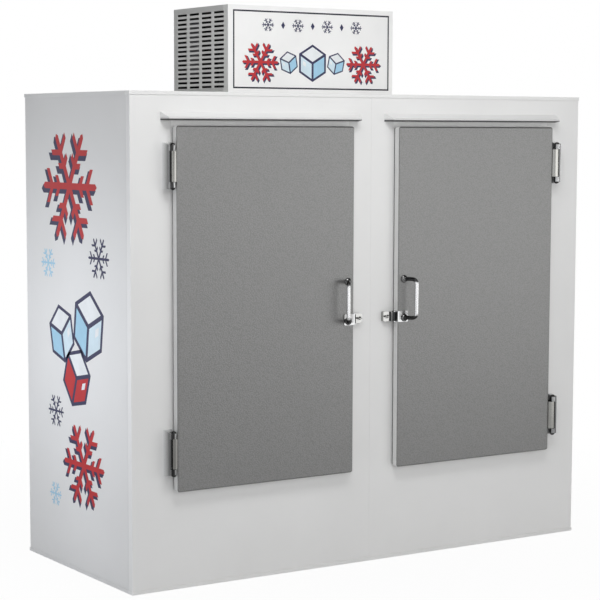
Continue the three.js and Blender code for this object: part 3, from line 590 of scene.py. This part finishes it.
def snowflake(radius, width, spread=0.0):
    """The outline of a six-armed flake with two pairs of twigs on each arm.  spread grows the whole outline
    outwards for a backing."""
    twigs = ((0.36, 0.14), (0.62, 0.27))  # place along the arm and length, as parts of the radius
    half = width / 2 + spread
    thick = width + 2 * spread
    side = outline((half * math.sqrt(3), half))
    for place, length in twigs:
        foot = place * radius - spread
        reach = length * radius + spread
        rise = Vector((reach / 2, reach * math.sqrt(3) / 2))
        near, far = outline((foot, half), (foot + thick, half))
        side += [near, near + rise, far + rise, far]
    side += outline((radius + spread - half, half))
    mirrored = [Vector((point.x, -point.y)) for point in side]
    arm = mirrored + outline((radius + spread, 0)) + side[:0:-1]
    turns = [Matrix.Rotation(math.radians(60 * step), 2) for step in range(6)]
    return [[turn @ point for turn in turns for point in arm]]


def ice_cube(size, tilt):
    """Backing hexagon, three faces and two glints of a cube seen corner on."""
    turn = Matrix.Rotation(math.radians(tilt), 2)
    back_size, face_size = 1.06, 0.84  # of the hexagon, and of the third of it that each face fills
    rim = polygon(6, size, start=30)
    corner = Vector((0, 0))

    def shrink(points, factor):
        centre = sum(points, Vector((0, 0))) / len(points)
        return [centre + (point - centre) * factor for point in points]

    def turned(shapes):
        return [[turn @ point for point in shape] for shape in shapes]

    back = [point * back_size for point in rim]
    faces = [shrink([corner, rim[i], rim[i + 1], rim[(i + 2) % 6]], face_size) for i in (0, 2, 4)]
    left_glint = outline((-0.66, -0.1), (-0.46, -0.22), (-0.46, 0.02), (-0.66, 0.14))
    top_glint = outline((0.2, 0.5), (0.42, 0.62), (0.3, 0.69), (0.08, 0.57))
    glints = [[point * size for point in glint] for glint in (left_glint, top_glint)]
    return {"back": turned([back]), "faces": turned(faces), "glints": turned(glints)}


def diamond(height):
    """A diamond standing on its point."""
    up, side = height / 2, height * 0.3
    return [outline((0, up), (-side, 0), (0, -up), (side, 0))]


def frame_line(low, high, width):
    """Four strips round a rectangle."""
    (left, bottom), (right, top) = low, high
    strips = [
        (left, bottom, right, bottom + width),
        (left, top - width, right, top),
        (left, bottom + width, left + width, top - width),
        (right - width, bottom + width, right, top - width),
    ]
    return [outline((a, b), (c, b), (c, d), (a, d)) for a, b, c, d in strips]


FILMS = {"backing": (0.00005, 0.0002), "colour": (0.00021, 0.00036), "glint": (0.00037, 0.0005)}


class Print:
    """Films laid on one flat panel, in layers.  to_world takes (across, up, out) in metres, and FILMS holds
    how far out each layer starts and ends."""

    def __init__(self, label, to_world):
        self.label = label
        self.to_world = to_world
        self.shapes = {}

    def lay(self, layer, finish, shapes):
        """Adds outlines to a layer in one colour."""
        self.shapes.setdefault((layer, finish), []).extend(shapes)

    def make(self):
        """Makes a piece of the shapes in each layer and colour."""
        for (layer, finish), shapes in self.shapes.items():
            mesh = bmesh.new()
            for shape in shapes:
                self.add_film(mesh, shape, FILMS[layer])
            bmesh.ops.recalc_face_normals(mesh, faces=mesh.faces)
            cabinet_piece(f"{self.label}_{layer}_{finish.name.split()[-1]}", mesh, finish)

    def add_film(self, mesh, shape, levels):
        under, over = (
            [mesh.verts.new(self.to_world(point.x, point.y, out)) for point in shape] for out in levels
        )
        caps = [mesh.faces.new(under[::-1]), mesh.faces.new(over)]
        wall(mesh, under, over)
        for cap in caps:
            cap.normal_update()
        bmesh.ops.triangulate(mesh, faces=caps, ngon_method="EAR_CLIP")


red = vinyl("film red", (0.50, 0.006, 0.012))
navy = vinyl("film navy", (0.012, 0.014, 0.075))
ink = vinyl("film ink", (0.008, 0.008, 0.02))
blue = vinyl("film blue", (0.36, 0.62, 0.80))
pale = vinyl("film pale", (0.66, 0.80, 0.88))
snow = vinyl("film snow", (0.83, 0.86, 0.88))


BACKING_DROP = Vector((0.06, -0.06))  # how far a backing is shifted from its flake, in radii
BACKING_SPREAD = 0.018  # how far it reaches past the flake all round, in radii


def print_flake(sheet, place, radius, finish, backing=None, width=0.11):
    """A flake, over a wider one in a second colour if that is given.  width is the arms', in radii."""
    if backing:
        wider = snowflake(radius, width * radius, BACKING_SPREAD * radius)
        sheet.lay("backing", backing, moved(moved(wider, place), BACKING_DROP * radius))
    sheet.lay("colour", finish, moved(snowflake(radius, width * radius), place))


def print_cube(sheet, place, size, tilt, sides=None):
    """A cube on a navy backing.  sides are the colours of its three faces."""
    cube = ice_cube(size, tilt)
    sheet.lay("backing", navy, moved(cube["back"], place))
    for face, finish in zip(cube["faces"], sides or (snow, pale, blue)):
        sheet.lay("colour", finish, moved([face], place))
    sheet.lay("glint", snow, moved(cube["glints"], place))


def print_side(label, side):
    """Flakes and cubes up one flank.  A place is (metres behind the cabinet face, metres above the floor)."""
    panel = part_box(f"side_panel_{label}")
    face = panel[0].x if side < 0 else panel[1].x
    sheet = Print(f"flank_print_{label}", lambda back, up, out: (face + side * out, cabinet_face + back, up))
    print_flake(sheet, (0.43, 1.30), 0.20, red, navy)
    print_flake(sheet, (0.22, 1.07), 0.075, navy)
    print_flake(sheet, (0.60, 1.035), 0.055, blue)
    print_cube(sheet, (0.30, 0.84), 0.115, 8)
    print_cube(sheet, (0.50, 0.80), 0.095, -14)
    print_cube(sheet, (0.39, 0.66), 0.10, 20, (snow, red, red))
    print_flake(sheet, (0.34, 0.37), 0.15, red, navy)
    print_flake(sheet, (0.55, 0.53), 0.06, navy)
    print_flake(sheet, (0.56, 0.24), 0.045, blue)
    sheet.make()


print_side("left", -1)
print_side("right", 1)


def print_sign():
    """A dark rule round the sign, a row of cubes between two flakes, and a row of small flakes over them."""
    low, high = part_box("sign_panel")
    sheet = Print("sign_print", lambda across, up, out: (across, low.y - out, up))
    rule_low, rule_high = (low.x + 0.02, low.z + 0.0215), (high.x - 0.017, high.z - 0.0165)
    sheet.lay("backing", ink, frame_line(rule_low, rule_high, width=0.0055))

    small_row, small_gap = high.z - 0.0652, 0.062
    for index in range(-3, 4):
        place = (index * small_gap, small_row)
        if index % 2:
            print_flake(sheet, place, 0.025, navy, width=0.13)
        else:
            sheet.lay("colour", navy, moved(diamond(0.026), place))

    large_row = low.z + 0.1138
    for across, size, tilt in ((-0.1, 0.038, 10), (0.0, 0.062, 0), (0.1, 0.038, -12)):
        print_cube(sheet, (across, large_row), size, tilt)
    for across in (-0.218, 0.218):
        print_flake(sheet, (across, large_row), 0.074, red, navy, width=0.12)
    sheet.make()


print_sign()


# ---------------------------------------------------------------- small fasteners and the sealed seam
def lathed(mesh, place, axis, profile, sides=18):
    """A turned shape of (radius, height) rings, standing on a place and pointing along an axis."""
    turn = Vector((0, 0, 1)).rotation_difference(Vector(axis)).to_matrix()
    rings = []
    for radius, height in profile:
        ring = [Vector((*corner, height)) for corner in polygon(sides, radius)]
        rings.append([mesh.verts.new(Vector(place) + turn @ point) for point in ring])
    mesh.faces.new(rings[0][::-1])
    for lower, upper in zip(rings, rings[1:]):
        wall(mesh, lower, upper)
    mesh.faces.new(rings[-1])


RIVET = (  # rings of (radius, height), from the edge of the head to the bottom of its hole
    (0.0042, 0.0),
    (0.0042, 0.0004),
    (0.0036, 0.0011),
    (0.0025, 0.0016),
    (0.0015, 0.0017),
    (0.0012, 0.0007),
)


def blind_rivets(name, places, finish):
    """Rivets in a back sheet, pointing backwards, as one piece."""
    mesh = bmesh.new()
    for place in places:
        lathed(mesh, place, (0, 1, 0), RIVET)
    cabinet_piece(name, mesh, finish)


def back_rivets():
    """Down both sides and along the top of the cabinet's back."""
    low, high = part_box("back_panel")
    column_x, row_z = high.x - 0.0176, high.z - 0.0298
    heights = [low.z + 0.0778 + 0.205 * index for index in range(8)]
    places = [(side * column_x, high.y, height) for side in (-1, 1) for height in heights]
    places += [(0.24 * index, high.y, row_z) for index in range(-3, 4)]
    blind_rivets("back_panel_rivets", places, white_paint)


def hood_rivets():
    """Down both sides of the hood's back."""
    column_x = hood_high.x - 0.0155
    heights = [hood_low.z + rise for rise in (0.03, 0.154, 0.278)]
    places = [(side * column_x, hood_high.y, height) for side in (-1, 1) for height in heights]
    blind_rivets("hood_back_rivets", places, hood_grey)


def seam_bead():
    """Paint-covered sealant in the joint between the two front panels."""
    end_gap, side_gap = 0.002, 0.00005
    half = front_low.x - side_gap
    right_side = [(half / 2, 0.00012), (half, 0.0003), (half, 0.0009)]  # (across, behind the face)
    section = [(-across, behind) for across, behind in reversed(right_side)] + right_side
    mesh = bmesh.new()
    lower, upper = (
        [mesh.verts.new((across, cabinet_face + behind, height)) for across, behind in section]
        for height in (front_low.z + end_gap, front_high.z - end_gap)
    )
    mesh.faces.new(lower)
    mesh.faces.new(upper[::-1])
    wall(mesh, lower, upper)
    bmesh.ops.recalc_face_normals(mesh, faces=mesh.faces)
    cabinet_piece("front_seam_bead", mesh, white_paint)


back_rivets()
hood_rivets()
seam_bead()


# ---------------------------------------------------------------- stage and light
WHITE = (1, 1, 1, 1)
COOL = (0.9, 0.935, 1.0)


def pale_floor():
    """A white floor that keeps some of the shadow on it, and looks dimmer near the object in its metal."""
    look = Look("floor", Base_Color=(0.8, 0.8, 0.8, 1), Roughness=0.9)
    ray = look.add("LightPath").outputs
    glow = look.add("Emission", {"Color": WHITE, "Strength": 1.0}).outputs[0]
    away = look.add("VectorMath", {0: look.place}, operation="LENGTH").outputs["Value"]
    seen = look.times(ray["Is Camera Ray"], look.remap(away, 0.6, 2.6, 0.95, 1.0))
    mirrored = look.times(ray["Is Glossy Ray"], look.remap(away, 2.6, 7.8, 0.0, 1.0))
    surface = look.blend(look.most(seen, mirrored), look.shader.outputs[0], glow)
    look.feed(look.tree.nodes["Material Output"].inputs["Surface"], surface)

    mesh = bmesh.new()
    bmesh.ops.create_grid(mesh, x_segments=1, y_segments=1, size=30)
    floor = new_piece("floor", mesh, look.material)
    floor.location = (0, 0, -0.0005)


def studio_world(fill):
    """White behind the object.  Metal sees a room that dims towards its ceiling and its left, the rest an
    even fill."""
    world = bpy.data.worlds.new("studio")
    world.use_nodes = True
    bpy.context.scene.world = world
    sky = Nodes(world.node_tree)
    backdrop = sky.tree.nodes["Background"]
    sky.feed(backdrop.inputs["Color"], WHITE)

    direction = sky.add("TexCoord").outputs["Generated"]
    upwards = sky.remap(sky.part(direction, "Z"), 0.08, 0.3, 1.0, 0.03)
    sideways = sky.remap(sky.part(direction, "X"), 0.4, 0.7, 0.6, 0.75)
    room, even = (
        sky.add("Background", {"Color": WHITE, "Strength": strength}).outputs[0]
        for strength in (sky.times(upwards, sideways), fill)
    )

    ray = sky.add("LightPath").outputs
    seen_through = sky.most(ray["Is Camera Ray"], ray["Is Transmission Ray"])
    lit = sky.blend(ray["Is Glossy Ray"], even, room)
    surface = sky.blend(seen_through, lit, backdrop.outputs[0])
    sky.feed(sky.tree.nodes["World Output"].inputs["Surface"], surface)


def soft_box(name, place, aim, size, watts, tint=(1, 1, 1)):
    """A rectangular lamp that faces its aim; size is (width, height)."""
    light = bpy.data.objects.new(name, bpy.data.lights.new(name, "AREA"))
    light.data.shape = "RECTANGLE"
    light.data.size, light.data.size_y = size
    light.data.energy = watts
    light.data.color = tint
    light.location = place
    light.rotation_euler = (Vector(aim) - Vector(place)).to_track_quat("-Z", "Y").to_euler()
    bpy.context.scene.collection.objects.link(light)


pale_floor()
studio_world(fill=0.23)
soft_box("front_top", (-0.7, -2.0, 3.1), aim=(-0.05, -0.4, 1.35), size=(2.0, 0.9), watts=34)
soft_box("front_wide", (-2.0, -5.6, 3.0), aim=(0.0, -0.3, 1.1), size=(4.5, 2.2), watts=43)
soft_box("front_level", (-2.4, -4.8, 1.3), aim=(0.0, -0.4, 1.1), size=(3.0, 1.6), watts=11)
soft_box("front_right", (3.0, -4.3, 1.35), aim=(0.1, -0.4, 1.1), size=(3.2, 2.6), watts=33)
soft_box("left_far", (-4.9, -1.4, 0.9), aim=(-0.92, 0.05, 0.9), size=(2.0, 2.0), watts=13, tint=COOL)
soft_box("left_back", (-1.7, 0.2, 0.75), aim=(-0.92, 0.15, 0.85), size=(0.5, 0.5), watts=2.3, tint=COOL)
soft_box("left_front", (-1.9, -0.1, 0.85), aim=(-0.92, -0.15, 0.9), size=(0.5, 0.5), watts=2.6, tint=COOL)
soft_box("right_far", (4.2, 0.4, 1.9), aim=(0.9, 0.1, 0.9), size=(1.8, 1.8), watts=42)
soft_box("back_far", (0.4, 4.4, 2.4), aim=(0.0, 0.4, 1.0), size=(2.6, 1.8), watts=60)

bpy.context.scene.view_settings.view_transform = "Standard"
